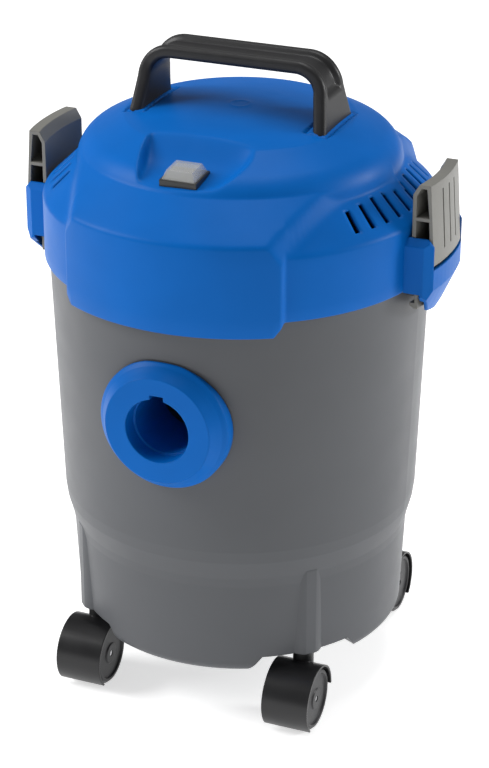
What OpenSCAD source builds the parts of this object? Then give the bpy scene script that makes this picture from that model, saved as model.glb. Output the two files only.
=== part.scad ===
// Wet and dry shop vacuum: a tapered tank on four twin-wheel casters, with a lift-off
// motor lid held by two side latches.
// Origin: centre of the tank on the floor. +Z is up and the hose inlet faces -Y.

/* [Tank] */
// Outer radius of the tank at its mouth
tank_top_r = 148; // [142:1:160]
// Outer radius just above the ledge round the lower tank
tank_ledge_r = 140.8; // [136:0.2:146]
// Outer radius at the bottom of the tank
tank_bottom_r = 131; // [126:1:135]
// Height of the tank's mouth above the floor
tank_top_z = 361.5; // [330:0.5:400]
// Height of the ledge above the floor
ledge_z = 148; // [120:1:180]
// Height of the tank's underside between the casters
tank_bottom_z = 48; // [44:1:52]
// Wall thickness of the tank
tank_wall = 3; // [2.4:0.2:4]

/* [Lid] */
// How far the front and rear bibs stand out from the skirt
bib_proud = 4; // [2:0.2:6]
// Height of the skirt's vertical wall
skirt_h = 50; // [40:1:60]
// How far the bibs hang below the skirt
bib_drop = 10; // [5:1:14]
// Height of the dome above the tank's mouth
dome_h = 108.5; // [100:0.5:125]
// Wall thickness of the lid
lid_wall = 3; // [2.4:0.2:3.4]
// Number of cooling slots on each side
slot_count = 11; // [7:2:15]
// Angle between one cooling slot and the next
slot_pitch = 6.2; // [5:0.2:8]
// Width of a cooling slot
slot_w = 4; // [3:0.5:5]

/* [Handle] */
// Length of the handle over its two feet
handle_len = 160; // [140:2:166]
// Height of the handle's top above the dome
handle_rise = 44; // [38:1:60]
// Depth of the handle's top bar, front to back
handle_bar_w = 38; // [30:1:44]
// Depth of the handle's feet, front to back
handle_foot_w = 60; // [50:1:64]
// Thickness of the handle's strap
handle_t = 10; // [8:0.5:12]

/* [Inlet] */
// Bore of the hose socket
inlet_bore = 51; // [40:1:54]
// Diameter of the socket's flat front face
inlet_face_d = 84; // [76:1:90]
// Diameter of the socket's flared rim where it meets the tank
inlet_rim_d = 103; // [96:1:108]
// Height of the socket's centre above the floor
inlet_z = 266; // [240:1:280]
// How far the front face stands off the tank's wall
inlet_proud = 15.22; // [12:0.01:20]

/* [Latches] */
// Width of a latch plate
latch_w = 64; // [50:1:66]
// Height of a latch plate
latch_h = 62; // [54:1:66]
// Thickness of the latch's walls
latch_t = 2.8; // [2.4:0.2:3.2]
// Diameter of the latch's hinge pin
latch_pin_d = 4; // [3:0.5:5]

/* [Switch] */
// Width of the switch frame, left to right
switch_w = 29; // [26:1:34]
// Depth of the switch frame, front to back
switch_d = 26; // [22:1:28]
// Angle the rocker tips between off and on
rocker_throw = 14; // [8:1:16]

/* [Casters] */
// Diameter of a caster wheel
wheel_d = 50; // [44:1:52]
// Width of one wheel of a pair
wheel_w = 12.5; // [10:0.5:13]
// Width of a caster's hood
hood_w = 38; // [36:0.5:42]
// Offset of the wheel axle from the swivel stem
caster_trail = 14; // [12:0.5:16]
// Half of the distance between casters, left to right
caster_x = 89; // [84:1:90]
// Half of the distance between casters, front to back
caster_y = 85; // [80:1:88]
// Diameter of the swivel stem
stem_d = 8; // [6:0.5:9]

/* [Motor] */
// Diameter of the fan housing
fan_d = 132; // [110:1:134]
// Height of the fan housing
fan_h = 34; // [28:1:36]
// Diameter of the motor's stator stack
stator_d = 84; // [70:1:88]
// Diameter of the motor shaft
shaft_d = 8; // [6:0.5:10]

/* [Filter] */
// Outer diameter of the filter cage
cage_d = 92; // [80:1:94]
// Length of the filter cage
cage_len = 118; // [100:1:130]
// Outer diameter of the pleated filter cartridge
filter_d = 130; // [124:1:134]
// Number of pleats in the cartridge
pleat_count = 48; // [24:2:60]
// Diameter of the float ball
float_d = 44; // [36:1:50]

/* [Fits] */
// Radial clearance of a running fit
run_fit = 0.05; // [0.02:0.01:0.1]
// Gap left round parts that are only located
loose_fit = 0.4; // [0.3:0.05:0.6]

/* [Hidden] */
$fn = 96;
// A hair's width by which cutting solids pass through the faces they open
eps = 0.01;
// Larger than the whole vacuum, for cutting away everything on one side
BIG = 800;

// Casters: the corners in the order front left, front right, rear left, rear right
CORNERS = [["fl", -1, -1], ["fr", 1, -1], ["rl", -1, 1], ["rr", 1, 1]];
pocket_z = wheel_d + 12;
pocket_low_r = 51;
pocket_high_r = 37;
hood_r = wheel_d / 2 + 2.5;
hood_gap = 0.9;
collar_r = 8.25;
stem_top = pocket_z + 30;
boss_r = 9.5;
pillar_r = 14;
web_w = hood_w - 2 * wheel_w - 4;
axle_r = 2.5;
washer_t = 1;

// Tank
floor_round = 9;
ledge_step = 5.2;
ledge_drop = 22;
lug_w = 48;
lug_r = tank_top_r + 4.3;
lug_z = tank_top_z - 16;
lug_t = 4.5;
rim_in = 6;

// Lid radii: the skirt slips over the tank's mouth, and the dome keeps its shelf
lid_r = tank_top_r + loose_fit + lid_wall;
bib_out = lid_r + bib_proud;
dome_foot_r = lid_r - 27;
shoulder_r = dome_foot_r - 14.4;
crown_edge = shoulder_r - 22;

// Lid heights
gasket_t = 4;
pan_t = 3;
pan_z = tank_top_z + gasket_t;
skirt_z = tank_top_z - 8.5;
skirt_top = skirt_z + skirt_h;
dome_z = tank_top_z + dome_h;
crown_r = 555;
shoulder_round = 26;
shelf_rise = lid_r - dome_foot_r;
crown_drop = crown_r - sqrt(crown_r * crown_r - crown_edge * crown_edge);
shoulder_z = dome_z - crown_drop - (shoulder_r - crown_edge) / 2;
shoulder_a = atan(2);
bib_top = skirt_top + 10.5;
apron_r = dome_foot_r - 29.4;
apron_top = bib_top + 46;
front_apron_a = 18.4;
rear_apron_a = 9.4;
apron_u = dome_foot_r - 0.9;
shelf_slope = 0.95;

// Ears that carry the latches
ear_half = 38;
ear_out = lid_r + 20;
ear_flat = 29;
ear_cheek_r = lid_r + 10.1;
ear_top = skirt_z + 43.5;
ear_low = skirt_z - 24;
ear_floor = skirt_z + 19;
ear_wall = 2.6;
slot_half = latch_w / 2 + 0.6;

// Latch hinge
hinge_r = lid_r + 6.1;
hinge_z = skirt_z + 19;
knuckle_r = latch_pin_d / 2 + 2.9;
latch_low = skirt_z + 22;
latch_top = latch_low + latch_h;
latch_in = lid_r + 2.2;
hook_tip = lug_r + 1;
hook_z = lug_z - 6.4;
arm_in = hinge_r - 0.7;
arm_t = 2.5;

// Switch and its recess
recess_front_z = bib_top + 26.5;
recess_tilt = 4.6;
switch_y = 20.4 - dome_foot_r;
switch_z = recess_front_z + (121 + switch_y) * tan(recess_tilt);
frame_h = 6;
frame_rim = 3;
cover_h = 7;
cover_t = 1.2;
rocker_r = 17;

// Inlet
inlet_gasket_t = 1.5;
inlet_tube_r = inlet_bore / 2 + 3;
inlet_back = filter_d / 2 + 31;
socket_front = tank_r(inlet_z) + inlet_proud;
inlet_seat = 14;
inlet_step = 1.6;
nut_y = tank_r(inlet_z) - tank_wall - 14.8;
deflector_wall = 2.5;
deflector_depth = 22;

// Screws
boss_circle_r = tank_top_r - 12;
boss_hole_d = 3.2;
screw_d = 3.9;
screw_head_d = 8;

// Handle
handle_top = dome_z + handle_rise;
handle_foot_z = dome_z - 11;
handle_corner = 25.5;
handle_half = handle_len / 2;
leg_lean = 4;
rib_w = 8.5;
channel_d = 4;
channel_end = handle_top - 26;

// Motor stack
cup_r = fan_d / 2 + 6;
cup_z = pan_z - 36;
fan_z = cup_z + pan_t + 3;
fan_t = 1.5;
motor_z = fan_z + fan_h;
motor_top = motor_z + 66;
impeller_r = fan_d / 2 - 6;
intake_r = 24;
bearing_r = 11;
rotor_r = 22;
foam_out = dome_foot_r - 12.4;
foam_in = foam_out - 24;
impeller_z = fan_z + 5;
impeller_h = fan_h - 12;
blade_count = 9;
top_mount_r = bearing_r + 12;
dome_under = dome_z - crown_r + sqrt(pow(crown_r - lid_wall, 2) - top_mount_r * top_mount_r);

// Filter
cage_r = cage_d / 2;
cage_t = 2.5;
cage_z = cup_z - cage_len;
float_r = float_d / 2;
filter_z = cage_z - 2;
filter_end = 4;
pleat_depth = 9;

// ---- shared helpers ----

// Points of a circular arc, from angle a0 to a1 in n steps
function arc(cx, cy, r, a0, a1, n) =
    [for (i = [0:n]) [cx + r * cos(a0 + (a1 - a0) * i / n), cy + r * sin(a0 + (a1 - a0) * i / n)]];

// Outer radius of the tank at height z, by its two straight tapers
function tank_r(z) = z > ledge_z
    ? tank_ledge_r + (tank_top_r - tank_ledge_r) * (z - ledge_z) / (tank_top_z - ledge_z)
    : tank_bottom_r + (tank_ledge_r - ledge_step - tank_bottom_r) * (z - tank_bottom_z)
        / (ledge_z - tank_bottom_z);

// A ring of rectangular section
module ring(r_in, r_out, z, h) {
    translate([0, 0, z])
        difference() {
            cylinder(r = r_out, h = h);
            translate([0, 0, -eps]) cylinder(r = r_in, h = h + 2 * eps);
        }
}

// An outline in X and Z, extruded by w to both sides of the XZ plane
module slab_xz(w) {
    rotate([90, 0, 0]) linear_extrude(w, center = true) children();
}

// An outline in Y and Z, extruded by w to both sides of the YZ plane
module slab_yz(w) {
    rotate([90, 0, 90]) linear_extrude(w, center = true) children();
}

module at_corners() {
    for (c = CORNERS) translate([c[1] * caster_x, c[2] * caster_y, 0]) children();
}

// ---- tank ----

// Outline of the tank's body from axis to wall, drawn d inside the outer skin
module tank_outline(d) {
    top = tank_top_z + (d > 0 ? 5 : 0);
    low = tank_bottom_z + d;
    round_r = floor_round - d;
    polygon(concat(
        [[0, low]],
        arc(tank_r(low + round_r) - d - round_r, low + round_r, round_r, -90, 0, 8),
        [[tank_r(ledge_z - ledge_drop) - d, ledge_z - ledge_drop]],
        [[tank_r(ledge_z - ledge_drop) - d + 1.2, ledge_z - ledge_drop + 8]],
        [[tank_ledge_r - d - 0.8, ledge_z + 2]],
        [[tank_r(ledge_z + 12) - d, ledge_z + 12]],
        [[tank_top_r - d, tank_top_z], [tank_top_r - d, top], [0, top]]));
}

// The raised pocket over each caster, grown by d
module caster_pockets(d) {
    at_corners()
        translate([0, 0, tank_bottom_z - 5])
            cylinder(r1 = pocket_low_r + d, r2 = pocket_high_r + d, h = pocket_z - tank_bottom_z + 5 + d);
}

module tank_skin() {
    difference() {
        union() {
            rotate_extrude() tank_outline(0);
            difference() {
                at_corners()
                    translate([0, 0, tank_bottom_z])
                        cylinder(r = pillar_r, h = ledge_z - tank_bottom_z - 12);
                ring(tank_bottom_r + 5.5, BIG / 2, 0, BIG);
            }
        }
        caster_pockets(0);
        difference() {
            rotate_extrude() tank_outline(tank_wall);
            caster_pockets(tank_wall);
        }
    }
}

module latch_lug() {
    intersection() {
        rotate_extrude()
            polygon([[tank_top_r - 4, lug_z], [lug_r, lug_z], [lug_r, lug_z + 2],
                     [tank_top_r - 0.5, lug_z + lug_t], [tank_top_r - 4, lug_z + lug_t]]);
        translate([BIG / 2, 0, 0]) cube([BIG, lug_w, BIG * 2], center = true);
    }
}

module tank() {
    color("dimgray")
    difference() {
        union() {
            tank_skin();
            ring(tank_top_r - rim_in, tank_top_r, tank_top_z - 3, 3);
            latch_lug();
            mirror([1, 0, 0]) latch_lug();
            at_corners() translate([0, 0, pocket_z]) cylinder(r = boss_r, h = stem_top - pocket_z + 3);
        }
        at_corners()
            translate([0, 0, pocket_z - 1])
                cylinder(d = stem_d + 2 * run_fit, h = stem_top - pocket_z + 1.5);
        translate([0, -tank_top_r + 30, inlet_z])
            rotate([90, 0, 0]) cylinder(d = inlet_bore + 9, h = 60);
    }
}

module tank_gasket() {
    color("black") ring(tank_top_r - rim_in, tank_top_r - 1, tank_top_z, gasket_t);
}

// ---- inlet ----

// The tank's outer skin without its openings, grown by d: what the inlet's parts sit against
module tank_blank(d) {
    rotate_extrude()
        polygon([[0, ledge_z + 12], [tank_r(ledge_z + 12) + d, ledge_z + 12],
                 [tank_top_r + d, tank_top_z], [0, tank_top_z]]);
}

module inlet_axis() {
    translate([0, 0, inlet_z]) rotate([90, 0, 0]) children();
}

module inlet_socket() {
    rim_r = inlet_rim_d / 2;
    face_r = inlet_face_d / 2;
    color("royalblue")
    difference() {
        union() {
            difference() {
                inlet_axis()
                    rotate_extrude()
                        polygon([[0, socket_front - 36], [rim_r, socket_front - 36],
                                 [rim_r, socket_front - 12.5],
                                 [rim_r - 3.2, socket_front - 9.5], [rim_r - 6, socket_front - 5.5],
                                 [face_r, socket_front], [0, socket_front]]);
                tank_blank(inlet_gasket_t);
            }
            inlet_axis()
                translate([0, 0, inlet_back]) cylinder(r = inlet_tube_r, h = socket_front - inlet_back - 2);
        }
        inlet_axis()
            translate([0, 0, inlet_back - 1]) cylinder(r = inlet_bore / 2 - inlet_step, h = socket_front);
        inlet_axis() translate([0, 0, socket_front - inlet_seat]) cylinder(d = inlet_bore, h = socket_front);
        inlet_axis() translate([0, inlet_bore / 2, socket_front - 8]) cube([11, 6, 30], center = true);
    }
}

module inlet_gasket() {
    color("black")
    difference() {
        intersection() {
            inlet_axis() translate([0, 0, 60]) cylinder(d = inlet_rim_d - 4, h = 100);
            tank_blank(inlet_gasket_t);
        }
        tank_blank(0);
        inlet_axis() translate([0, 0, 50]) cylinder(r = inlet_tube_r + 0.2, h = 130);
    }
}

module inlet_ring_nut() {
    color("royalblue")
    difference() {
        inlet_axis()
            translate([0, 0, nut_y - 8])
                difference() {
                    cylinder(r = inlet_tube_r + 9, h = 40);
                    translate([0, 0, -1]) cylinder(r = inlet_tube_r, h = 60);
                    for (a = [0:45:315])
                        rotate([0, 0, a])
                            translate([inlet_tube_r + 9, 0, 20]) cube([5, 7, 60], center = true);
                }
        difference() {
            translate([-BIG / 2, -BIG, 0]) cube([BIG, BIG, BIG]);
            tank_blank(-tank_wall);
        }
    }
}

// A closed cup on the tube's inner end, whose side window turns the dust along the wall
module inlet_deflector() {
    wall_r = inlet_tube_r + deflector_wall;
    color("dimgray")
    difference() {
        inlet_axis()
            translate([0, 0, inlet_back - deflector_depth]) cylinder(r = wall_r, h = deflector_depth + 8);
        inlet_axis()
            translate([0, 0, inlet_back - deflector_depth + deflector_wall])
                cylinder(r = inlet_tube_r, h = deflector_depth + 8);
        translate([0, -inlet_back + 1, inlet_z - 22]) cube([BIG, deflector_depth - 5, 44]);
    }
}

// ---- lid ----

// The dome, shelf and skirt from axis to skin, drawn d inside the outer skin
module lid_outline(d) {
    low = d > 0 ? skirt_z - 20 : skirt_z;
    centre_r = shoulder_r - shoulder_round * cos(shoulder_a);
    centre_z = shoulder_z - shoulder_round * sin(shoulder_a);
    edge_a = 90 - asin(crown_edge / crown_r);
    polygon(concat(
        arc(0, dome_z - crown_r, crown_r - d, 90, edge_a, 6),
        arc(centre_r, centre_z, shoulder_round - d, shoulder_a, 0, 8),
        [[dome_foot_r - d, skirt_top + shelf_rise * shelf_slope - d * 0.4]],
        [[lid_r - d, skirt_top - d * 0.4], [lid_r - d, low], [0, low]]));
}

// Half of what an apron keeps: all that lies inside one straight side
module apron_side(a, d, low) {
    rotate([0, 0, -a])
        slab_xz(BIG)
            polygon([[-BIG, low - 1], [apron_u - d - 5, low - 1], [apron_u - d, low + 11],
                     [apron_u - d, skirt_top + 18], [apron_u - d - 13, dome_z], [-BIG, dome_z]]);
}

// The front or rear apron: a cone that sweeps from the dome down to the bib, between two
// straight sides that lie tangent to the dome's foot
module apron(a, d) {
    low = d > 0 ? skirt_z - 40 : skirt_z - bib_drop;
    intersection() {
        rotate_extrude()
            polygon([[0, low], [bib_out - d, low], [bib_out - d, bib_top - d * 0.5],
                     [apron_r, apron_top - d * 1.26], [0, apron_top - d * 1.26]]);
        translate([-BIG / 2, -BIG, 0]) cube([BIG, BIG, BIG]);
        apron_side(a, d, low);
        mirror([1, 0, 0]) apron_side(a, d, low);
    }
}

// The scoop in the front apron where the switch sits, grown by d
module switch_recess(d) {
    floor_z = recess_front_z - d;
    intersection() {
        slab_yz(BIG)
            polygon([[-170, floor_z - 49 * tan(recess_tilt)], [-85, floor_z + 36 * tan(recess_tilt)],
                     [-68 + d, dome_z - 5], [-68 + d, dome_z + 20], [-170, dome_z + 20]]);
        linear_extrude(BIG)
            polygon([[-24 - d, -150], [-42 - d, -64 + d], [42 + d, -64 + d], [24 + d, -150]]);
    }
}

module lid_form(d) {
    difference() {
        union() {
            rotate_extrude() lid_outline(d);
            apron(front_apron_a, d);
            mirror([0, 1, 0]) apron(rear_apron_a, d);
        }
        switch_recess(d);
    }
}

// Places of the screws that hold the motor pan in the lid
module at_bosses() {
    for (a = [50, 90, 130, 230, 270, 310])
        rotate([0, 0, a]) translate([boss_circle_r, 0, 0]) children();
}

// Outline of an ear seen from its side of the vacuum, drawn d inside its skin
module ear_face(d) {
    slab_yz(BIG)
        polygon([[-ear_half + d, skirt_z - 2], [-20 + d / 2, ear_low + 5], [0, ear_low],
                 [20 - d / 2, ear_low + 5], [ear_half - d, skirt_z - 2],
                 [ear_half - d, ear_top - 6], [ear_half - 6 - d / 2, ear_top],
                 [-ear_half + 6 + d / 2, ear_top], [-ear_half + d, ear_top - 6]]);
}

module ear_solid() {
    intersection() {
        rotate_extrude()
            polygon([[lid_r - 1, skirt_z], [lid_r - 1, ear_top], [ear_out - 5, ear_top],
                     [ear_out, ear_top - 6], [ear_out, skirt_z + 3], [ear_out - 12, ear_low],
                     [ear_out - 12 - ear_wall, ear_low], [ear_out - ear_wall - 5, skirt_z]]);
        ear_face(0);
        linear_extrude(BIG)
            polygon([[100, -ear_half], [ear_cheek_r, -ear_half], [ear_out + 2, -ear_flat],
                     [ear_out + 2, ear_flat], [ear_cheek_r, ear_half], [100, ear_half]]);
    }
}

// The room inside an ear for the latch, its hinge and its hook
module ear_room() {
    intersection() {
        rotate_extrude()
            polygon([[lid_r + eps, ear_low - 5], [lid_r + eps, ear_top + 5],
                     [BIG / 2, ear_top + 5], [BIG / 2, ear_floor], [ear_out - ear_wall, ear_floor],
                     [ear_out - ear_wall, skirt_z + 3], [ear_out - 12 - ear_wall, ear_low],
                     [ear_out - 12 - ear_wall, ear_low - 5]]);
        translate([BIG / 2, 0, 0]) cube([BIG, 2 * slot_half, BIG * 2], center = true);
    }
}

module ear() {
    difference() {
        ear_solid();
        ear_room();
    }
}

module latch_pin_axis() {
    translate([hinge_r, 0, hinge_z]) rotate([90, 0, 0]) children();
}

// Slots through the shelf on both sides, stopped short where an apron covers them
module cooling_slots() {
    difference() {
        for (side = [0, 180])
            for (i = [0:slot_count - 1])
                rotate([0, 0, side + (i - (slot_count - 1) / 2) * slot_pitch])
                    translate([dome_foot_r + 1.5, -slot_w / 2, skirt_top - 8]) cube([18, slot_w, 60]);
        apron(front_apron_a, -1.5);
        mirror([0, 1, 0]) apron(rear_apron_a, -1.5);
    }
}

module lid_shell() {
    color("royalblue")
    difference() {
        union() {
            difference() {
                lid_form(0);
                lid_form(lid_wall);
            }
            ear();
            mirror([1, 0, 0]) ear();
            difference() {
                for (side = [-1, 1])
                    translate([side * (handle_half - handle_t / 2 - 3), 0, handle_foot_z - 3])
                        cube([handle_t + 16, handle_foot_w + 10, 12], center = true);
                difference() {
                    translate([0, 0, dome_z]) cube([BIG, BIG, BIG], center = true);
                    lid_form(1);
                }
            }
            intersection() {
                at_bosses() translate([0, 0, pan_z + pan_t]) cylinder(r = 4.5, h = 60);
                lid_form(1);
            }
        }
        for (side = [-1, 1])
            mirror([side > 0 ? 1 : 0, 0, 0])
                latch_pin_axis() cylinder(d = latch_pin_d, h = 2 * ear_half - 4, center = true);
        cooling_slots();
        handle_leg_space(loose_fit);
        screw_places_handle() cylinder(d = 4.2, h = 40, center = true);
        at_bosses() translate([0, 0, pan_z + pan_t - 1]) cylinder(d = boss_hole_d, h = 15);
        translate([0, switch_y, switch_z])
            rotate([recess_tilt, 0, 0])
                cube([switch_w - 2 * frame_rim + 2 * loose_fit,
                      switch_d - 2 * frame_rim + 2 * loose_fit, 30], center = true);
        translate([0, bib_out - 20, skirt_z + 32]) rotate([-90, 0, 0]) cylinder(d = 9, h = 40);
    }
}

// ---- handle ----

// One side of the strap's outline seen from the front, drawn d inside the outer edge
module strap_outline(d) {
    corner = handle_corner - d;
    turn_x = handle_half - leg_lean - handle_corner;
    turn_z = handle_top - handle_corner;
    polygon(concat(
        [[-handle_half + d, handle_foot_z - (d > 0 ? 9 : 0)]],
        arc(-turn_x, turn_z, corner, 180, 90, 14),
        arc(turn_x, turn_z, corner, 90, 0, 14),
        [[handle_half - d, handle_foot_z - (d > 0 ? 9 : 0)]]));
}

// The strap's outline seen from the side: a narrow bar on spreading feet, grown by g
module strap_side(g) {
    foot = handle_foot_w / 2 + g;
    bar = handle_bar_w / 2 + g;
    slab_yz(BIG)
        polygon([[-foot, handle_foot_z - 10], [-foot, handle_foot_z + 4], [-bar, handle_top - 14],
                 [-bar, handle_top + 5], [bar, handle_top + 5], [bar, handle_top - 14],
                 [foot, handle_foot_z + 4], [foot, handle_foot_z - 10]]);
}

// The room that a handle leg takes in the lid, grown by g
module handle_leg_space(g) {
    for (side = [-1, 1])
        translate([side * (handle_half - handle_t / 2 - 1.7), 0, handle_foot_z + 15])
            cube([handle_t + 5 + 2 * g, handle_foot_w + 2 * g, 30], center = true);
}

module screw_places_handle() {
    for (x = [-1, 1])
        for (y = [-1, 1])
            translate([x * (handle_half - handle_t / 2 - 1.5), y * 18, handle_foot_z - 5]) children();
}

module handle() {
    color([0.24, 0.24, 0.25])
    difference() {
        intersection() {
            difference() {
                slab_xz(BIG) strap_outline(0);
                slab_xz(BIG) strap_outline(handle_t);
            }
            strap_side(0);
        }
        intersection() {
            difference() {
                slab_xz(handle_bar_w - 2 * rib_w) strap_outline(-2);
                slab_xz(BIG) strap_outline(channel_d);
            }
            translate([-BIG / 2, -BIG / 2, channel_end]) cube([BIG, BIG, BIG]);
        }
        screw_places_handle() cylinder(d = 3.2, h = 20);
    }
}

// A pan-head screw pointing up from the origin, with its head below
module screw(length) {
    cylinder(d = screw_d - 0.9, h = length);
    translate([0, 0, -2.6]) cylinder(d = screw_head_d, h = 2.6);
}

module handle_screws() {
    color("silver") screw_places_handle() translate([0, 0, -4]) screw(20);
}

// ---- switch ----

module on_switch() {
    translate([0, switch_y, switch_z]) rotate([recess_tilt, 0, 0]) children();
}

module block(w, d, z, h) {
    translate([-w / 2, -d / 2, z]) cube([w, d, h]);
}

module switch_frame() {
    color([0.2, 0.2, 0.19])
    on_switch()
        difference() {
            union() {
                block(switch_w, switch_d, 0.05, frame_h);
                block(switch_w - 2 * frame_rim, switch_d - 2 * frame_rim, -18, 19);
            }
            block(switch_w - 2 * frame_rim - 4, switch_d - 2 * frame_rim - 4, -6, 30);
        }
}

// The rocker: a disc sector whose two flats meet over its pivot
module switch_rocker() {
    color([0.45, 0.45, 0.43])
    on_switch()
        translate([0, 0, frame_h - 7])
            rotate([0, -rocker_throw / 2, 0])
                slab_xz(switch_d - 2 * frame_rim - 5)
                    intersection() {
                        translate([0, 11 - rocker_r + 1]) circle(r = rocker_r);
                        polygon([[-8.2, -2], [-8.2, 8], [0, 9.2], [8.2, 8], [8.2, -2], [0, -4]]);
                    }
}

// A box with all four sides leaning in, drawn d inside its skin
module bevelled_box(d) {
    low = frame_h + (d > 0 ? -1 : 0.05);
    high = frame_h + cover_h - d;
    half_w = switch_w / 2 - 1.5 - d;
    half_d = switch_d / 2 - 1 - d;
    intersection() {
        slab_xz(BIG) polygon([[-half_w, low], [-half_w + 3, high], [half_w - 3, high], [half_w, low]]);
        slab_yz(BIG) polygon([[-half_d, low], [-half_d + 3, high], [half_d - 3, high], [half_d, low]]);
    }
}

module switch_cover() {
    color([0.8, 0.85, 0.85, 0.5])
    on_switch()
        difference() {
            bevelled_box(0);
            bevelled_box(cover_t);
        }
}

// ---- latches ----

// The latch's profile from the vacuum's axis outward: an inverted channel, a web, the
// hinge's knuckle and the arm that ends in the hook
module latch_profile() {
    lean = 4.6;
    outer = ear_out - lean;
    difference() {
        polygon([[latch_in, hinge_z], [latch_in, latch_top - 8], [latch_in + 4.5, latch_top],
                 [outer, latch_top], [ear_out - 0.5, latch_low], [ear_out - 0.5 - latch_t, latch_low],
                 [ear_out - 0.5 - latch_t, latch_low + 3], [hinge_r, latch_low + 3], [hinge_r, hinge_z]]);
        polygon([[latch_in + latch_t, latch_low + 6], [latch_in + latch_t, latch_top - 28],
                 [ear_out - 2.4 - latch_t, latch_top - 28], [ear_out - 0.7 - latch_t, latch_low + 6]]);
        polygon([[latch_in + latch_t, latch_top - 25.4], [latch_in + latch_t, latch_top - 9],
                 [latch_in + latch_t + 3.2, latch_top - latch_t], [outer - latch_t, latch_top - latch_t],
                 [ear_out - 2.2 - latch_t, latch_top - 25.4]]);
    }
    polygon([[arm_in, hinge_z], [arm_in, hook_z + 4.6], [hook_tip, hook_z + 4.6], [hook_tip, hook_z + 2],
             [arm_in, hook_z], [arm_in + arm_t, hook_z], [arm_in + arm_t, hinge_z]]);
}

module latch() {
    difference() {
        union() {
            intersection() {
                rotate_extrude() latch_profile();
                translate([BIG / 2, 0, 0]) cube([BIG, latch_w, BIG * 2], center = true);
            }
            latch_pin_axis() cylinder(r = knuckle_r, h = latch_w, center = true);
        }
        latch_pin_axis() cylinder(d = latch_pin_d + 2 * run_fit, h = BIG, center = true);
        for (a = [-4.4, 0, 4.4])
            rotate([0, 0, a])
                translate([ear_out - 2.5, 0, latch_low + latch_h / 2])
                    rotate([0, -4.3, 0]) translate([0, 0, 1]) cube([2.4, 2, latch_h - 16], center = true);
    }
}

module latch_right() {
    color("darkgray") latch();
}

module latch_left() {
    color("darkgray") mirror([1, 0, 0]) latch();
}

module latch_pins() {
    color("silver")
    for (side = [0, 1])
        mirror([side, 0, 0])
            latch_pin_axis() cylinder(d = latch_pin_d, h = 2 * ear_half - 5, center = true);
}

// ---- motor pan, fan and motor ----

module motor_pan() {
    color([0.16, 0.16, 0.17])
    difference() {
        union() {
            ring(cup_r - 2, tank_top_r - 2.6, pan_z, pan_t);
            ring(cup_r - pan_t, cup_r, cup_z, pan_z - cup_z + pan_t);
            ring(intake_r, cup_r, cup_z, pan_t);
        }
        at_bosses() translate([0, 0, pan_z - 1]) cylinder(d = screw_d, h = 10);
    }
}

module pan_screws() {
    color("silver") at_bosses() translate([0, 0, pan_z]) screw(12);
}

module fan_seal() {
    color("black") ring(intake_r + 6, fan_d / 2 - 6, cup_z + pan_t, fan_z - cup_z - pan_t);
}

module fan_housing() {
    color("silver")
    difference() {
        union() {
            translate([0, 0, fan_z]) cylinder(d = fan_d, h = fan_h);
            translate([0, 0, motor_z]) cylinder(r = stator_d / 2 + 2, h = 4);
        }
        translate([0, 0, fan_z + fan_t]) cylinder(r = fan_d / 2 - fan_t, h = fan_h - 2 * fan_t);
        translate([0, 0, fan_z - 1]) cylinder(r = intake_r, h = 5);
        translate([0, 0, motor_z - 5]) cylinder(r = bearing_r, h = 20);
        for (a = [0:30:330])
            rotate([0, 0, a]) translate([stator_d / 2 + 9, 0, motor_z - 5]) cylinder(d = 9, h = 10);
    }
}

module impeller() {
    color("gainsboro")
    difference() {
        union() {
            translate([0, 0, impeller_z]) cylinder(r = impeller_r, h = 1.5);
            translate([0, 0, impeller_z + impeller_h]) cylinder(r = impeller_r, h = 1.5);
            translate([0, 0, impeller_z]) cylinder(r = 12, h = impeller_h);
            for (a = [0:360 / blade_count:359])
                rotate([0, 0, a])
                    translate([intake_r + 2, 0, impeller_z])
                        rotate([0, 0, 28]) cube([impeller_r - intake_r - 8, 1.2, impeller_h + 1]);
        }
        difference() {
            translate([0, 0, impeller_z - 1]) cylinder(r = intake_r - 2, h = 4);
            translate([0, 0, impeller_z - 2]) cylinder(r = 12, h = 6);
        }
        translate([0, 0, impeller_z - 5]) cylinder(d = shaft_d, h = 60);
    }
}

module motor_shaft() {
    color("silver")
    translate([0, 0, impeller_z - 3]) cylinder(d = shaft_d, h = motor_top + 2 - impeller_z);
}

module motor_rotor() {
    color([0.5, 0.35, 0.2])
    difference() {
        union() {
            translate([0, 0, motor_z + 12]) cylinder(r = rotor_r, h = 32);
            translate([0, 0, motor_z + 46]) cylinder(r = 13, h = 11);
            translate([0, 0, motor_z + 44]) cylinder(r = 8, h = 2);
        }
        translate([0, 0, motor_z]) cylinder(d = shaft_d, h = 70);
    }
}

module motor_stator() {
    color([0.35, 0.35, 0.37])
    difference() {
        translate([0, 0, motor_z + 4]) cylinder(d = stator_d, h = 46);
        translate([0, 0, motor_z + 3]) cylinder(r = rotor_r + 1, h = 60);
        for (a = [0, 180])
            rotate([0, 0, a]) translate([rotor_r + 4, -14, motor_z + 3]) cube([11, 28, 60]);
    }
}

module motor_bracket() {
    color("silver")
    difference() {
        union() {
            ring(stator_d / 2 - 8, stator_d / 2, motor_z + 50, 10);
            translate([0, 0, motor_z + 58]) cylinder(d = stator_d, h = 3);
            translate([0, 0, motor_z + 58]) cylinder(r = bearing_r + 3, h = 9);
        }
        translate([0, 0, motor_z + 50]) cylinder(r = bearing_r, h = 30);
        for (a = [45:90:315])
            rotate([0, 0, a]) translate([28, 0, motor_z + 50]) cylinder(d = 14, h = 20);
    }
}

module motor_bearings() {
    color("silver") {
        ring(shaft_d / 2 + run_fit, bearing_r, motor_z - fan_t, 5);
        ring(shaft_d / 2 + run_fit, bearing_r, motor_z + 59, 6);
    }
}

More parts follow.
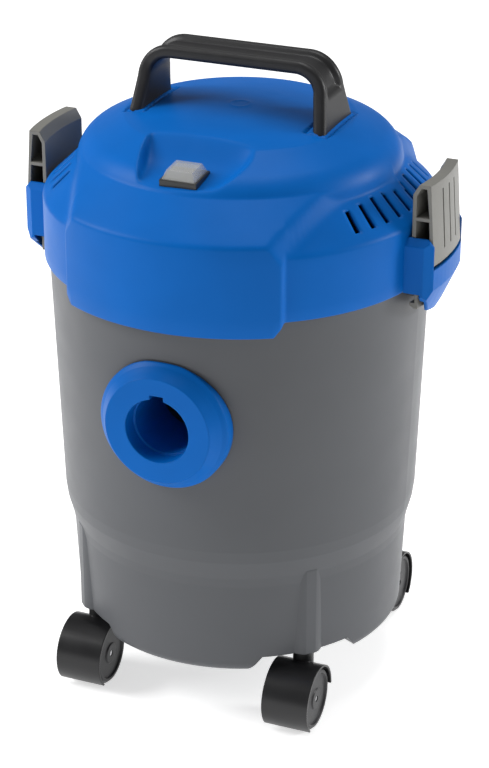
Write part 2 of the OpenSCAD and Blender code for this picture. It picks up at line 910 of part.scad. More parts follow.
module carbon_brushes() {
    color([0.12, 0.12, 0.12])
    for (a = [0, 180])
        rotate([0, 0, a]) translate([13.4, -3, motor_z + 50.5]) cube([stator_d / 2 - 22, 6, 6]);
}

module motor_top_mount() {
    color("black") ring(bearing_r + 0.4, top_mount_r, motor_z + 67, dome_under - 0.1 - motor_z - 67);
}

module exhaust_foam() {
    color([0.2, 0.2, 0.2]) ring(foam_in, foam_out, pan_z + pan_t, 34);
}

// ---- filter and float ----

module filter_cage() {
    color([0.16, 0.16, 0.17])
    difference() {
        union() {
            ring(cage_r - cage_t, cage_r, cage_z, cage_len);
            ring(intake_r, cage_r, cup_z - 4, 4);
            translate([0, 0, cage_z]) cylinder(r = cage_r, h = cage_t);
            translate([0, 0, cage_z - 26]) cylinder(d = 12, h = 27);
        }
        for (a = [0:45:135])
            for (z = [cage_z + 12, cage_z + 46, cage_z + 80])
                rotate([0, 0, a]) translate([-BIG / 2, -11, z]) cube([BIG, 22, 26]);
    }
}

module float_ball() {
    color("white") translate([0, 0, cage_z + cage_t + float_r]) sphere(r = float_r);
}

// The pleated cartridge round the cage, between two solid end rings
module filter_cartridge() {
    color("beige") {
        translate([0, 0, filter_z + filter_end])
            linear_extrude(cup_z - filter_z - 2 * filter_end)
                difference() {
                    polygon([for (i = [0:2 * pleat_count - 1])
                        let (r = filter_d / 2 - (i % 2 == 0 ? 1 : pleat_depth), a = 180 * i / pleat_count)
                            [r * cos(a), r * sin(a)]]);
                    circle(r = filter_d / 2 - pleat_depth - 4);
                }
        ring(cage_r + 2, filter_d / 2, filter_z, filter_end);
        ring(cage_r + 2, filter_d / 2, cup_z - filter_end, filter_end);
    }
}

module filter_end_cap() {
    color([0.16, 0.16, 0.17])
    difference() {
        translate([0, 0, filter_z - 3]) cylinder(d = filter_d + 4, h = 3);
        translate([0, 0, filter_z - 4]) cylinder(d = 12.4, h = 6);
    }
}

module filter_nut() {
    color([0.16, 0.16, 0.17])
    translate([0, 0, filter_z - 15])
        difference() {
            union() {
                cylinder(d = 34, h = 12);
                for (a = [0:60:300]) rotate([0, 0, a]) translate([17, 0, 0]) cylinder(d = 8, h = 12);
            }
            translate([0, 0, -1]) cylinder(d = 12, h = 14);
        }
}

// ---- casters ----

// Where a caster stands: the front pair trails forward and the rear pair backward
module caster_frame(c) {
    translate([c[1] * caster_x, c[2] * caster_y, 0]) mirror([0, c[2] > 0 ? 1 : 0, 0]) children();
}

module axle_line() {
    translate([0, -caster_trail, wheel_d / 2]) rotate([0, 90, 0]) children();
}

module caster_hood(c) {
    color([0.13, 0.13, 0.14])
    caster_frame(c)
        difference() {
            union() {
                difference() {
                    axle_line() cylinder(r = hood_r, h = hood_w, center = true);
                    axle_line() cylinder(r = wheel_d / 2 + hood_gap, h = hood_w + 1, center = true);
                    translate([-BIG / 2, -caster_trail, -BIG + wheel_d / 2]) cube([BIG, BIG, BIG]);
                    translate([-BIG / 2, -BIG / 2, -BIG + 6]) cube([BIG, BIG, BIG]);
                }
                difference() {
                    axle_line() cylinder(r = wheel_d / 2 + hood_gap + 0.2, h = web_w, center = true);
                    translate([-BIG / 2, -BIG / 2, -BIG + 6]) cube([BIG, BIG, BIG]);
                }
                difference() {
                    translate([0, 0, wheel_d / 2 + 10])
                        cylinder(r = collar_r, h = pocket_z - washer_t - wheel_d / 2 - 10);
                    axle_line() cylinder(r = wheel_d / 2 + hood_gap, h = hood_w + 1, center = true);
                }
            }
            axle_line() cylinder(r = axle_r, h = BIG, center = true);
            translate([0, 0, wheel_d / 2 + 4]) cylinder(d = stem_d - 2, h = 60);
        }
}

module caster_stem(c) {
    color("silver")
    caster_frame(c) {
        translate([0, 0, wheel_d / 2 + 4]) cylinder(d = stem_d - 2, h = pocket_z - wheel_d / 2 - 4);
        translate([0, 0, pocket_z - washer_t]) cylinder(r = collar_r - 1.5, h = washer_t - 0.35);
        translate([0, 0, pocket_z - washer_t]) cylinder(d = stem_d, h = stem_top - pocket_z);
    }
}

module caster_axle(c) {
    color("silver")
    caster_frame(c)
        axle_line() cylinder(r = axle_r, h = hood_w - 5, center = true);
}

// One wheel: a tyre and disc with a recessed hub face
module wheel(side) {
    axle_line()
        translate([0, 0, side * (web_w / 2 + 0.5 + wheel_w / 2)])
            rotate([side > 0 ? 0 : 180, 0, 0])
                translate([0, 0, -wheel_w / 2])
                    rotate_extrude()
                        polygon([[axle_r + run_fit, 0], [wheel_d / 2 - 1.5, 0], [wheel_d / 2, 1.5],
                                 [wheel_d / 2, wheel_w - 2], [wheel_d / 2 - 2, wheel_w],
                                 [wheel_d / 2 - 4, wheel_w], [wheel_d / 2 - 5, wheel_w - 1.5],
                                 [9, wheel_w - 1.5], [8, wheel_w - 0.5], [axle_r + run_fit, wheel_w - 0.5]]);
}

module wheel_left(c) {
    color([0.2, 0.2, 0.22]) caster_frame(c) wheel(-1);
}

module wheel_right(c) {
    color([0.2, 0.2, 0.22]) caster_frame(c) wheel(1);
}

tank();
tank_gasket();
inlet_socket();
inlet_gasket();
inlet_ring_nut();
inlet_deflector();
lid_shell();
handle();
handle_screws();
switch_frame();
switch_rocker();
switch_cover();
latch_left();
latch_right();
latch_pins();
motor_pan();
pan_screws();
fan_seal();
fan_housing();
impeller();
motor_stator();
motor_rotor();
motor_shaft();
motor_bracket();
motor_bearings();
carbon_brushes();
motor_top_mount();
exhaust_foam();
filter_cage();
float_ball();
filter_cartridge();
filter_end_cap();
filter_nut();
for (c = CORNERS) {
    caster_hood(c);
    caster_stem(c);
    caster_axle(c);
    wheel_left(c);
    wheel_right(c);
}
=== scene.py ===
import math

import bpy
import numpy as np
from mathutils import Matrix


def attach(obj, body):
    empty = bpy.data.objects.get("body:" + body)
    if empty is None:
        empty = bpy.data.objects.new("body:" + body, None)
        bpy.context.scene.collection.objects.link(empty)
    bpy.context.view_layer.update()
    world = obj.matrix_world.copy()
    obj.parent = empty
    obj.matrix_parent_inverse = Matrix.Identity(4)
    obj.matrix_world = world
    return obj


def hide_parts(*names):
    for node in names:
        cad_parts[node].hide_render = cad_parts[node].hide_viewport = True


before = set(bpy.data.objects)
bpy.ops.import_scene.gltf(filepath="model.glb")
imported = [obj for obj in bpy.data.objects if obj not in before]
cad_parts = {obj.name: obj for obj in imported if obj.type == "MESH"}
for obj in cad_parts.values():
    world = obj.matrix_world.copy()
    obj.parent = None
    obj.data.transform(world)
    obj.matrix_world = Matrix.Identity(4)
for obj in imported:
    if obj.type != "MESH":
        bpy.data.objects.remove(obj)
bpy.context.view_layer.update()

# ---- the view: a long lens from above the front right, as a catalogue shows a vacuum.
# Lens and sensor in millimetres, place in metres, angles in degrees
LENS, SENSOR_HEIGHT = 74.59, 24.0
EYE, LOOK_DOWN, LOOK_TURN = (0.6646, -1.5920, 1.0396), 24.98, 22.55
camera = bpy.data.objects.new("camera", bpy.data.cameras.new("camera"))
camera.data.sensor_fit = "VERTICAL"
camera.data.sensor_height = SENSOR_HEIGHT
camera.data.lens = LENS
camera.data.clip_end = 20.0
camera.location = EYE
camera.rotation_euler = (math.radians(90 - LOOK_DOWN), 0, math.radians(LOOK_TURN))
bpy.context.scene.collection.objects.link(camera)
bpy.context.scene.camera = camera

# ---- the room: a bright white paper floor, an even surround, a large softbox high on the
# left, a small light behind the right side that draws the edges, and a soft one overhead
PAPER = 3.0
PAPER_GLOW = 0.6
SURROUND = 0.28
MIDDLE = (0, 0, 0.28)


def lamp(name, place, size, power):
    """A square white lamp of a side in metres, at a place and turned to face the vacuum."""
    light = bpy.data.lights.new(name, "AREA")
    light.size = size
    light.energy = power
    holder = bpy.data.objects.new(name, light)
    holder.location = place
    way = np.array(MIDDLE, float) - np.array(place, float)
    flat = math.hypot(way[0], way[1])
    holder.rotation_euler = (math.atan2(flat, -way[2]), 0, math.atan2(way[1], way[0]) - math.pi / 2)
    bpy.context.scene.collection.objects.link(holder)


lamp("softbox left", (-2.0, -0.9, 1.7), 1.2, 50)
lamp("edge light right", (1.8, 0.9, 0.9), 0.5, 22)
lamp("light above", (0.0, 0.2, 2.3), 1.2, 19)
world = bpy.data.worlds.new("surround")
world.use_nodes = True
world.node_tree.nodes["Background"].inputs["Color"].default_value = (1, 1, 1, 1)
world.node_tree.nodes["Background"].inputs["Strength"].default_value = SURROUND
bpy.context.scene.world = world
bpy.context.scene.view_settings.view_transform = "Standard"


class Socket:
    """A shader socket that sums, scales and compares like a number: each operator adds
    the Math node of the same name. Settings go in first, then values or links."""

    def __init__(self, tree, socket):
        self.tree = tree
        self.socket = socket

    def node(self, kind, settings=None, **values):
        """A new node. Values and links go to sockets by name, or i0, i1 by number."""
        made = self.tree.nodes.new(kind)
        for key, value in (settings or {}).items():
            setattr(made, key, value)
        for key, value in values.items():
            numbered = key[0] == "i" and key[1:].isdigit()
            target = made.inputs[int(key[1:]) if numbered else key.replace("_", " ")]
            if isinstance(value, Socket):
                self.tree.links.new(value.socket, target)
            else:
                target.default_value = value
        return made

    def out(self, made, name=0):
        """One output of a node, as a socket to go on with."""
        return Socket(self.tree, made.outputs[name])

    def maths(self, operation, a, b=0.0):
        return self.out(self.node("ShaderNodeMath", {"operation": operation}, i0=a, i1=b))

    def __add__(self, other):
        return self.maths("ADD", self, other)

    def __sub__(self, other):
        return self.maths("SUBTRACT", self, other)

    def __rsub__(self, other):
        return self.maths("SUBTRACT", other, self)

    def __mul__(self, other):
        return self.maths("MULTIPLY", self, other)

    __radd__ = __add__
    __rmul__ = __mul__

    def step(self, low, high):
        """0 below low, 1 above high, smooth between them."""
        made = self.node(
            "ShaderNodeMapRange", {"interpolation_type": "SMOOTHSTEP"},
            Value=self, From_Min=low, From_Max=high)
        return self.out(made)

    def mix(self, a, b):
        """The colour a where this is 0 and b where it is 1."""
        made = self.node("ShaderNodeMix", {"data_type": "RGBA"}, i0=self, i6=a, i7=b)
        return self.out(made, 2)


def start(name):
    """An empty material, with its shader and a socket to begin expressions from."""
    material = bpy.data.materials.new(name)
    material.use_nodes = True
    shader = material.node_tree.nodes["Principled BSDF"]
    place = material.node_tree.nodes.new("ShaderNodeTexCoord").outputs["Object"]
    return material, shader, Socket(material.node_tree, place)


def noise(place, scale, detail=3.0):
    """Fractal noise from 0 to 1, finer as scale grows."""
    return place.out(place.node(
        "ShaderNodeTexNoise", Vector=place, Scale=scale, Detail=detail, Roughness=0.55))


def rgb(colour, gain=1.0):
    """A socket's colour value, with its three parts scaled."""
    return (colour[0] * gain, colour[1] * gain, colour[2] * gain, 1.0)


def moulded(name, colour, rough, grain, round_edge=0.0012, dust=0.05, wear_and_highlight=0.25, coat=0.0,
            drift=0.06, pale_lift=0.06, shine=0.4):
    """Injection-moulded plastic: a colour that drifts slowly over the piece, a fine spark
    grain, faint dust in broad patches, and edges rounded by round_edge metres and made
    paler and smoother in patches, as rubbed wear and, on the clear cap, a painted highlight.
    Pale_lift is how much paler dust and the pale edges make it."""
    material, shader, place = start(name)
    slow = noise(place, 9.0)
    cloud = noise(place, 38.0, 4.0)
    fine = noise(place, 1500.0, 2.0)
    bevel = place.node("ShaderNodeBevel", {"samples": 6}, Radius=round_edge)
    normal = place.out(bevel)
    face = place.out(place.node("ShaderNodeNewGeometry"), "True Normal")
    same = place.node("ShaderNodeVectorMath", {"operation": "DOT_PRODUCT"}, i0=normal, i1=face)
    edge = (1.0 - place.out(same, "Value")).step(0.01, 0.16) * cloud.step(0.38, 0.62)
    base = slow.step(0.3, 0.7).mix(rgb(colour, 1 - drift), rgb(colour, 1 + drift))
    dusty = (cloud.step(0.45, 0.8) * dust).mix(base, rgb([c * 0.7 + pale_lift for c in colour]))
    # paler edges: rubbed wear on most pieces, a painted highlight on the clear cap's bevels
    worn_and_highlit = (edge * wear_and_highlight).mix(dusty, rgb([min(1.0, c * 1.5 + pale_lift) for c in colour]))
    material.node_tree.links.new(worn_and_highlit.socket, shader.inputs["Base Color"])
    roughness = rough + (cloud - 0.5) * 0.14 + (fine - 0.5) * 0.06 - edge * 0.08
    material.node_tree.links.new(roughness.socket, shader.inputs["Roughness"])
    bump = place.node(
        "ShaderNodeBump", Strength=grain, Distance=0.0002, Height=fine + cloud * 0.4, Normal=normal)
    material.node_tree.links.new(bump.outputs[0], shader.inputs["Normal"])
    shader.inputs["Specular IOR Level"].default_value = shine
    shader.inputs["Coat Weight"].default_value = coat
    shader.inputs["Coat Roughness"].default_value = 0.18
    return material


paper = moulded("white paper", (0.9, 0.9, 0.9), 0.8, 0.0, wear_and_highlight=0.0, dust=0.0, drift=0.004)
glow = paper.node_tree.nodes["Principled BSDF"]
glow.inputs["Emission Color"].default_value = (1, 1, 1, 1)
glow.inputs["Emission Strength"].default_value = PAPER_GLOW
floor_mesh = bpy.data.meshes.new("paper")
floor_mesh.from_pydata(
    [(-PAPER, -PAPER, 0), (PAPER, -PAPER, 0), (PAPER, PAPER, 0), (-PAPER, PAPER, 0)], [], [(0, 1, 2, 3)])
floor_mesh.materials.append(paper)
floor = bpy.data.objects.new("paper", floor_mesh)
bpy.context.scene.collection.objects.link(floor)

# ---- tank: a deep tapered bucket moulded in satin grey plastic, with a ledge round its
# lower part and a pocket over each caster. Black rubber seals its mouth, its inlet and,
# up in the lid, the fan


def dress(node, material):
    """Gives one CAD piece its finish."""
    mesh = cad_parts[node].data
    mesh.materials.clear()
    mesh.materials.append(material)


tank_grey = moulded("tank grey", (0.086, 0.090, 0.098), 0.42, 0.2, dust=0.02, drift=0.03, shine=0.3)
dress("tank", tank_grey)
rubber = moulded("black rubber", (0.02, 0.02, 0.02), 0.7, 0.3)
for name in ("tank_gasket", "inlet_gasket", "fan_seal", "motor_top_mount"):
    dress(name, rubber)

# ---- hose inlet: a blue flared socket in the tank's front, held from inside by a ring nut
# of the same plastic, with a grey cup on its inner end that turns the dust aside
lid_blue = moulded(
    "lid blue", (0.0, 0.112, 0.44), 0.42, 0.12, 0.0015, wear_and_highlight=0.1, pale_lift=0.0, shine=0.1)
dress("inlet_socket", lid_blue)
dress("inlet_ring_nut", lid_blue)
dress("inlet_deflector", tank_grey)

# ---- lid: one blue moulding. A shallow crown rolls over a tight shoulder into a sloping
# shelf with the cooling slots; front and rear aprons sweep down over it to bibs that hang
# below the skirt, and a scoop in the front apron carries the switch
SKIRT_R, BIB_R = 151.4, 155.4
SKIRT_LOW, SKIRT_TOP, BIB_LOW, BIB_TOP = 353.0, 403.0, 343.0, 413.5
DOME_TOP, CROWN_R, CROWN_EDGE = 470.0, 555.0, 88.0
SHOULDER_R, SHOULDER_ROUND, FOOT_R, SHELF_SLOPE = 110.0, 26.0, 124.4, 0.95
APRON_SLOPE, APRON_SIDE, APRON_TOP, APRON_FADE = 0.7616, 123.5, 459.4, 8.5
APRONS = ((-1, math.radians(18.4)), (1, math.radians(9.4)))
SCOOP_FLOOR, SCOOP_FRONT, SCOOP_TILT, SCOOP_BACK = 440.0, -121.0, math.radians(4.6), -84.0
SCOOP_HALF, SCOOP_FLARE, SCOOP_FLARE_FROM = 25.0, 0.209, -150.0
BACK_STEEP, LEFT_STEEP, RIGHT_STEEP = 0.62, 1.7, 0.7
BACK_SOFT, LEFT_SOFT, RIGHT_SOFT, BRIM_SOFT = 120.0, 2.5, 47.5, 2.5
GATE_MARK_R, GATE_MARK_H = 7.5, 0.35
SEAT_X, SEAT_HALF_X, SEAT_HALF_Y, SEAT_GROOVE = 73.3, 7.6, 30.4, 1.6
WALL, RIM_ROUND, GRID_GAP = 2.9, 2.6, 0.34
SLOTS, SLOT_PITCH, SLOT_HALF = 11, 6.2, 1.0
SLOT_IN, SLOT_OUT, SHORTEST = 125.9, 143.9, 6


def ease(v):
    """0 below 0, 1 above 1 and a cubic between them."""
    v = np.clip(v, 0.0, 1.0)
    return v * v * (3 - 2 * v)


def apron_u(x, y, side, turn):
    """How far out a point is, square to the apron's straight side."""
    return np.abs(x) * math.cos(turn) + side * y * math.sin(turn)


def lid_height(r, t):
    """Height in mm of the lid's skin at radius r and angle t. From the axis out: a sphere,
    a straight slope, a quarter round and the shelf; then each apron's cone where it is
    higher, faded out near its straight side; then the lower of that and the switch scoop,
    whose floor, back and sides are planes with soft corners, crisp on the left and broad
    on the right; then the moulding's raised ring and a groove round each handle foot."""
    x, y = r * np.cos(t), r * np.sin(t)
    edge_z = DOME_TOP - CROWN_R + math.sqrt(CROWN_R**2 - CROWN_EDGE**2)
    shoulder_z = edge_z - (SHOULDER_R - CROWN_EDGE) / 2
    round_r = SHOULDER_R - SHOULDER_ROUND * math.cos(math.atan(2))
    round_z = shoulder_z - SHOULDER_ROUND * math.sin(math.atan(2))
    crown = DOME_TOP - CROWN_R + np.sqrt(CROWN_R**2 - np.minimum(r, 200.0) ** 2)
    slope = edge_z - (r - CROWN_EDGE) / 2
    roll = round_z + np.sqrt(np.maximum(SHOULDER_ROUND**2 - (r - round_r) ** 2, 0))
    shelf = SKIRT_TOP + (SKIRT_R - r) * SHELF_SLOPE
    shelf_top = SKIRT_TOP + (SKIRT_R - FOOT_R) * SHELF_SLOPE
    z = np.where(r < CROWN_EDGE, crown, np.where(r < SHOULDER_R, slope, roll))
    z = np.where(r > FOOT_R - 0.05, shelf, np.maximum(z, shelf_top))
    cone = np.minimum(BIB_TOP + (BIB_R - r) * APRON_SLOPE, APRON_TOP)
    for side, turn in APRONS:
        inside = 1 - ease((apron_u(x, y, side, turn) - APRON_SIDE + APRON_FADE) / APRON_FADE)
        z = z + np.where(side * y > 0, inside, 0) * np.maximum(cone - z, 0)
    floor = SCOOP_FLOOR + (y - SCOOP_FRONT) * math.tan(SCOOP_TILT)
    back = y - SCOOP_BACK
    wide = np.abs(x) - SCOOP_HALF - (y - SCOOP_FLARE_FROM) * SCOOP_FLARE
    to_right = ease((x + 10) / 20)
    steep = LEFT_STEEP + (RIGHT_STEEP - LEFT_STEEP) * to_right
    soft = LEFT_SOFT + (RIGHT_SOFT - LEFT_SOFT) * to_right
    scoop = floor + BACK_STEEP * (back + np.sqrt(back**2 + BACK_SOFT))
    scoop = scoop + steep * (wide + np.sqrt(wide**2 + soft))
    gap = z - scoop
    z = np.where(y < 0, z - 0.5 * (gap + np.sqrt(gap**2 + BRIM_SOFT)), z)
    z = z + GATE_MARK_H * (1 - ease((np.abs(r - GATE_MARK_R) - 0.6) / 1.2))
    seat = np.maximum(np.abs(np.abs(x) - SEAT_X) - SEAT_HALF_X, np.abs(y) - SEAT_HALF_Y)
    return z - SEAT_GROOVE * (1 - ease(np.abs(seat - 0.7) - 0.5))


def angles():
    """Grid angles in radians: close together over the scoop, at both edges of each slot,
    and wide apart elsewhere."""
    lines = [np.arange(-126, -54, 0.5), np.arange(-180, 180, 2.0)]
    for middle in (0, 180):
        slots = middle + (np.arange(SLOTS) - (SLOTS - 1) / 2) * SLOT_PITCH
        for shift in (-SLOT_HALF, 0, SLOT_HALF, -2.2, 2.2):
            lines.append(slots + shift)
    joined = np.unique(np.round((np.concatenate(lines) + 180) % 360 - 180, 3))
    slot_edges = np.round((np.concatenate(lines[2:]) + 180) % 360 - 180, 3)
    keep = [joined[0]]
    for value in joined[1:]:
        if value - keep[-1] > GRID_GAP:
            keep.append(value)
        elif value in slot_edges:
            keep[-1] = value
    return np.radians(np.array(keep))


def lid_grid():
    """Rings of points from the crown's centre to the skirt's lower edge: radii on the
    height surface, a short rim rounded as a quadratic curve, the upright wall and a
    rounded lower edge. Gives each ring's radii and heights in mm, and their angles."""
    t = angles()
    wide = (SKIRT_R + BIB_R) / 2
    bib = np.zeros_like(t)
    drop = np.zeros_like(t)
    for side, turn in APRONS:
        u = apron_u(wide * np.cos(t), wide * np.sin(t), side, turn)
        here = side * np.sin(t) > 0
        bib = np.where(here, np.maximum(bib, 1 - ease((u - APRON_SIDE + 3.0) / 3.0)), bib)
        drop = np.where(here, np.maximum(drop, 1 - np.clip((u - APRON_SIDE + 6) / 5, 0, 1)), drop)
    edge = SKIRT_R + (BIB_R - SKIRT_R) * bib
    low = SKIRT_LOW + (BIB_LOW - SKIRT_LOW) * drop
    radii = np.concatenate([
        [0.6, 3, 5.6, 6.4, 7, 8, 8.6, 9.6], np.arange(14, 60, 6.0), np.arange(60, 88, 1.4), [88],
        np.arange(89.2, 122, 1.3), [122.4, 123.2, 123.9, 124.3, 124.8, SLOT_IN],
        np.linspace(SLOT_IN, SLOT_OUT, 13)[1:]])
    rings = [(np.full_like(t, r), lid_height(np.full_like(t, r), t)) for r in radii]
    for share in (0.35, 0.7, 1.0):
        r = SLOT_OUT + (edge - RIM_ROUND - SLOT_OUT) * share
        rings.append((r, lid_height(r, t)))
    corner = lid_height(edge - 0.01, t)
    start_r, start_z = rings[-1]
    for s in np.linspace(0, 1, 7)[1:]:
        rings.append(((1 - s) ** 2 * start_r + 2 * s * (1 - s) * edge + s * s * edge,
                      (1 - s) ** 2 * start_z + 2 * s * (1 - s) * corner + s * s * (corner - RIM_ROUND)))
    for s in np.linspace(0, 1, 6)[1:]:
        rings.append((edge, (1 - s) * (corner - RIM_ROUND) + s * (low + 1.2)))
    rings.append((edge - 0.4, low + 0.35))
    rings.append((edge - 1.2, low))
    r = np.array([ring[0] for ring in rings])
    z = np.array([ring[1] for ring in rings])
    return r, z, t


def mesh_piece(name, points, faces, material):
    """A flat-shaded mesh object at the origin from points in mm and a list of faces."""
    mesh = bpy.data.meshes.new(name)
    mesh.from_pydata((np.asarray(points) / 1000).tolist(), [], faces)
    mesh.materials.append(material)
    piece = bpy.data.objects.new(name, mesh)
    bpy.context.scene.collection.objects.link(piece)
    return piece


def crease(piece, degrees):
    """Keeps faces that meet at more than an angle sharp, and blends the others."""
    piece.data.shade_smooth()
    piece.data.set_sharp_from_angle(angle=math.radians(degrees))


ring_r, ring_z, ring_t = lid_grid()
rows, columns = ring_r.shape
points = np.stack([ring_r * np.cos(ring_t), ring_r * np.sin(ring_t), ring_z], -1).reshape(-1, 3)
row = np.arange(rows - 1)[:, None]
column = np.arange(columns)[None, :]
after = (column + 1) % columns
quads = np.stack([row * columns + column, (row + 1) * columns + column,
                  (row + 1) * columns + after, row * columns + after], -1)
middle = points[quads].mean(2)
middle_r = np.hypot(middle[..., 0], middle[..., 1])
turn = np.degrees(np.arctan2(middle[..., 1], middle[..., 0]))
from_side = (turn + 90) % 180 - 90
place_in = np.abs((from_side + SLOT_PITCH / 2) % SLOT_PITCH - SLOT_PITCH / 2)
is_slot = (place_in < SLOT_HALF) & (np.abs(from_side) < SLOTS * SLOT_PITCH / 2)
is_slot &= (middle_r > SLOT_IN) & (middle_r < SLOT_OUT)
for side, lean in APRONS:
    beyond = apron_u(middle[..., 0], middle[..., 1], side, lean) > APRON_SIDE + 4.0
    is_slot &= beyond | (side * middle[..., 1] < 0)
is_slot &= is_slot.sum(0) >= SHORTEST
points = np.vstack([points, [0, 0, DOME_TOP]])
cap = [(columns * rows, a, (a + 1) % columns) for a in range(columns)]
lid_skin = mesh_piece("lid_skin", points, quads[~is_slot].tolist() + cap, lid_blue)
crease(lid_skin, 38)
thick = lid_skin.modifiers.new("wall", "SOLIDIFY")
thick.thickness = WALL / 1000
thick.offset = -1
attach(lid_skin, "lid_assembly")
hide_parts("lid_shell")

# the lid's ears and, under the skin, its screw bosses and handle seats: the rest of the
# same moulding, as the CAD piece's own faces
SHELF_END = 146.0
EAR_FROM, EAR_HALF = 140, 39
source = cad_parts["lid_shell"].data
corners = np.zeros(len(source.vertices) * 3)
source.vertices.foreach_get("co", corners)
corners = corners.reshape(-1, 3) * 1000
loops = np.zeros(len(source.loop_triangles) * 3, int)
source.loop_triangles.foreach_get("vertices", loops)
loops = loops.reshape(-1, 3)
spot = corners[loops].mean(1)
spot_r = np.hypot(spot[:, 0], spot[:, 1])
is_ear = (spot_r > SKIRT_R + 0.05) & (np.abs(spot[:, 0]) > EAR_FROM) & (np.abs(spot[:, 1]) < EAR_HALF)
spot_top = lid_height(np.minimum(spot_r, 151.0), np.arctan2(spot[:, 1], spot[:, 0]))
is_inner = (spot_r < SHELF_END) & (spot[:, 2] < spot_top - 6.5)
chosen = loops[is_ear | is_inner]
corner_r = np.hypot(corners[:, 0], corners[:, 1])
under = lid_height(np.minimum(corner_r, SHELF_END), np.arctan2(corners[:, 1], corners[:, 0])) - 3.2
corners[:, 2] = np.where(corner_r < SHELF_END, np.minimum(corners[:, 2], under), corners[:, 2])
lid_ears = mesh_piece("lid_ears", corners, chosen.tolist(), lid_blue)
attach(lid_ears, "lid_assembly")

# ---- handle: one black glass-filled nylon moulding, a strap bent over two round corners
# with a rib along each edge. Each foot widens into a seat in the lid and is held by two
# screws from below
STRAP, CORNER, TOP_Z, FOOT_Z, HALF, LEAN = 10.0, 25.5, 514.0, 459.0, 80.0, 4.0
BAR_HALF, FOOT_HALF, EDGE_ROUND = 19.0, 30.0, 3.4
RIB, CHANNEL, CHANNEL_END = 8.5, 4.0, 487.0


def strap_path():
    """Centre line in X and Z and its outward normal: a leaning leg, a quarter circle, the
    bar, and the same mirrored."""
    mid = CORNER - STRAP / 2
    centre = np.array([HALF - LEAN - CORNER, TOP_Z - CORNER])
    turn = np.radians(np.linspace(0, 90, 17))
    arc = centre + mid * np.stack([np.cos(turn), np.sin(turn)], -1)
    share = np.linspace(0, 1, 14)[:-1, None]
    leg = np.array([HALF - STRAP / 2, FOOT_Z]) * (1 - share) + arc[0] * share
    half = np.vstack([leg, arc, [[centre[0] * 0.5, arc[-1][1]]]])
    line = np.vstack([half, [[0, arc[-1][1]]], half[::-1] * [-1, 1]])
    along = np.gradient(line, axis=0)
    along /= np.linalg.norm(along, axis=1)[:, None]
    return line, np.stack([along[:, 1], -along[:, 0]], -1)


def strap_section(half_w, channel):
    """Rows of (across, out) round the strap: flat inside, round edges, then each rib's
    crown and the channel between the ribs."""
    edge = EDGE_ROUND
    bend = np.radians(np.linspace(-90, 0, 6))
    out = STRAP / 2
    across = [0 * half_w, half_w * 0.5]
    level = [0 * half_w - out, 0 * half_w - out]
    for a in bend:
        across.append(half_w - edge + edge * math.cos(a))
        level.append(0 * half_w - out + edge + edge * math.sin(a))
    for a in -bend[::-1]:
        across.append(half_w - edge + edge * math.cos(a))
        level.append(0 * half_w + out - edge + edge * math.sin(a))
    for share, drop in ((0.62, 0.02), (0.78, 0.10), (0.9, 0.3), (1.0, 0.68), (1.1, 0.93), (1.25, 1.0)):
        across.append(half_w - RIB * share)
        level.append(out - channel * drop)
    across.append(0 * half_w)
    level.append(out - channel)
    across, level = np.array(across), np.array(level)
    return np.vstack([across, -across[-2:0:-1]]), np.vstack([level, level[-2:0:-1]])


line, outward = strap_path()
rise = np.clip((TOP_Z - 14 - line[:, 1]) / (TOP_Z - 18 - FOOT_Z), 0, 1)
half_w = BAR_HALF + (FOOT_HALF - BAR_HALF) * rise**1.25
across, level = strap_section(half_w, CHANNEL * ease((line[:, 1] - CHANNEL_END) / 4))
strap = np.stack([line[None, :, 0] + outward[None, :, 0] * level, across,
                  line[None, :, 1] + outward[None, :, 1] * level], -1)
around, steps = strap.shape[:2]
a, b = np.meshgrid(np.arange(around), np.arange(steps - 1), indexing="ij")
quads = np.stack([a * steps + b, a * steps + b + 1,
                  (a + 1) % around * steps + b + 1, (a + 1) % around * steps + b], -1).reshape(-1, 4)
ends = [[k * steps for k in range(around)], [k * steps + steps - 1 for k in range(around)][::-1]]
handle_black = moulded("handle black", (0.014, 0.014, 0.015), 0.42, 0.35, 0.0015, wear_and_highlight=0.3, shine=0.35)
handle = mesh_piece("handle_strap", strap.reshape(-1, 3), quads.tolist() + ends, handle_black)
crease(handle, 50)
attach(handle, "lid_assembly")
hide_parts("handle")

# ---- switch: a black nylon frame snapped into the scoop, a rocker on its own pivot and a
# clear bevelled cap of soft plastic that keeps water off
switch_black = moulded("switch black", (0.03, 0.03, 0.026), 0.3, 0.2, 0.0008, wear_and_highlight=0.4)
dress("switch_frame", switch_black)
dress("switch_rocker", moulded("rocker grey", (0.03, 0.03, 0.028), 0.25, 0.1, 0.0008))
# the cap's edges go white with its high edge paling: partly scuffed soft plastic, partly a painted
# highlight on the bevels
clear_cap = moulded(
    "clear cap", (0.62, 0.63, 0.62), 0.1, 0.05, 0.0009, dust=0.3, wear_and_highlight=0.8, coat=0.8, pale_lift=0.3, shine=0.6)
clear_shader = clear_cap.node_tree.nodes["Principled BSDF"]
clear_shader.inputs["Alpha"].default_value = 0.4
dress("switch_cover", clear_cap)

# ---- latches: grey nylon plates that swing on steel pins in the lid's ears, each with an
# arm whose hook catches under the tank's lug
latch_grey = moulded("latch grey", (0.17, 0.167, 0.152), 0.4, 0.3, 0.0009, wear_and_highlight=0.4)
dress("latch_left", latch_grey)
dress("latch_right", latch_grey)


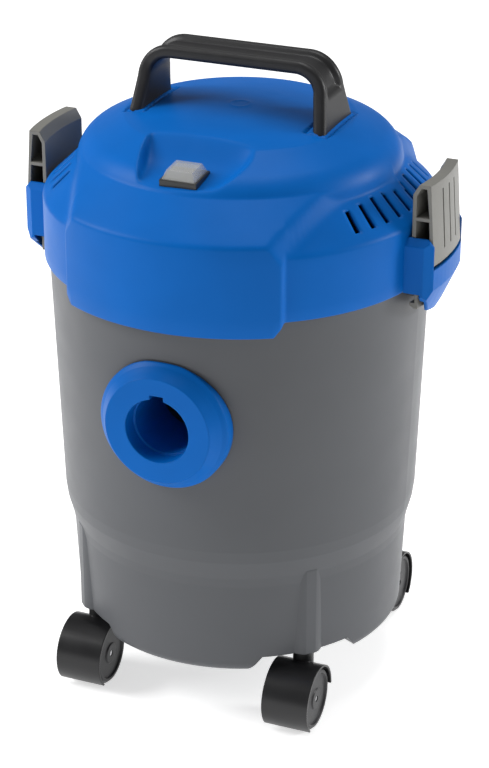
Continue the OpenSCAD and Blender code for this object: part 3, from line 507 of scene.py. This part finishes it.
def metal(name, colour, rough, brushed=0.0):
    """Bare or plated metal: fine turned lines round Z, faint stains and a light polish
    where it is handled."""
    material, shader, place = start(name)
    cloud = noise(place, 60.0, 4.0)
    squeeze = place.node("ShaderNodeMapping", Vector=place, Scale=(60.0, 60.0, 1800.0))
    lines = place.out(place.node("ShaderNodeTexNoise", Vector=place.out(squeeze), Scale=1.0, Detail=2.0))
    base = cloud.step(0.35, 0.7).mix(rgb(colour, 0.82), rgb(colour))
    material.node_tree.links.new(base.socket, shader.inputs["Base Color"])
    roughness = rough + (cloud - 0.5) * 0.16 + (lines - 0.5) * brushed
    material.node_tree.links.new(roughness.socket, shader.inputs["Roughness"])
    bump = place.node("ShaderNodeBump", Strength=0.15 + brushed, Distance=0.0001, Height=lines)
    material.node_tree.links.new(bump.outputs[0], shader.inputs["Normal"])
    shader.inputs["Metallic"].default_value = 1.0
    return material


bright_steel = metal("bright steel", (0.66, 0.66, 0.68), 0.18)
dress("latch_pins", bright_steel)

# ---- screws: zinc-plated pan heads, up through the pan and into the handle's feet
zinc = metal("zinc plate", (0.5, 0.5, 0.47), 0.34, 0.1)
dress("handle_screws", zinc)
dress("pan_screws", zinc)

# ---- motor pan, cage and filter fittings: black polypropylene mouldings
pan_black = moulded("pan black", (0.022, 0.022, 0.024), 0.5, 0.3)
for name in ("motor_pan", "filter_cage", "filter_end_cap", "filter_nut"):
    dress(name, pan_black)

# ---- motor: pressed aluminium fan housing and impeller, varnished iron stack, a wound
# rotor on a ground shaft in two bearings, carbon brushes and a ring of exhaust foam
pressed = metal("pressed aluminium", (0.72, 0.73, 0.74), 0.34, 0.25)
for name in ("fan_housing", "impeller", "motor_bracket"):
    dress(name, pressed)
dress("motor_stator", metal("varnished iron", (0.2, 0.19, 0.19), 0.45, 0.3))
dress("motor_rotor", metal("copper winding", (0.55, 0.27, 0.14), 0.4, 0.5))
dress("motor_shaft", bright_steel)
dress("motor_bearings", bright_steel)
dress("carbon_brushes", moulded("carbon", (0.012, 0.012, 0.013), 0.6, 0.5))
dress("exhaust_foam", moulded("open foam", (0.04, 0.04, 0.042), 0.95, 1.0, dust=0.3))

# ---- filter: pleated paper between two moulded ends, and a hollow float ball
dress("filter_cartridge", moulded("filter paper", (0.62, 0.57, 0.46), 0.9, 0.6, 0.0004, dust=0.25))
dress("float_ball", moulded("float white", (0.7, 0.7, 0.67), 0.4, 0.1))

# ---- casters: a black hood moulded round a plated stem, and two nylon wheels on a steel
# axle. The wheels' edges scuff grey first
caster_black = moulded("caster black", (0.010, 0.010, 0.011), 0.33, 0.25, 0.0012, wear_and_highlight=0.3)
wheel_black = moulded("wheel black", (0.014, 0.014, 0.016), 0.42, 0.3, 0.0008, dust=0.08, wear_and_highlight=0.5)
for corner in ("fl", "fr", "rl", "rr"):
    dress("caster_hood_" + corner, caster_black)
    dress("caster_stem_" + corner, bright_steel)
    dress("caster_axle_" + corner, bright_steel)
    dress("wheel_left_" + corner, wheel_black)
    dress("wheel_right_" + corner, wheel_black)
